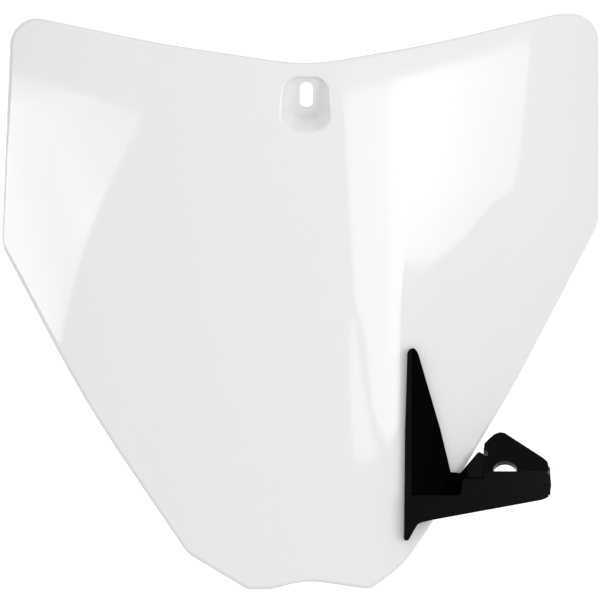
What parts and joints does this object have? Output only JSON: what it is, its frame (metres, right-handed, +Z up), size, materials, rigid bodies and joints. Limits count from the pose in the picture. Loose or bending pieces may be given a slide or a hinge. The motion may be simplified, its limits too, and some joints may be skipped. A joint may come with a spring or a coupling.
{
  "type": "racing number board",
  "caption": "Raked, swept front number plate with a bolt recess and a brake hose guide screwed to its side wing.",
  "frame": {"origin": "middle of the fixing slot, on the flat rear face of its boss", "axes": "+X to the viewer's right, -Y out of the plate's front, +Y along the fixing bolt to the rear, +Z up"},
  "size_m": [0.2854, 0.1451, 0.244],
  "materials": {
    "white_plastic": "glossy moulded",
    "black_plastic": "fine mould texture",
    "zinc_steel": "bright zinc"
  },
  "bodies": {
    "root": {"number_plate": "white_plastic", "hose_guide": "black_plastic", "guide_screws": "zinc_steel"}
  },
  "joints": []
}
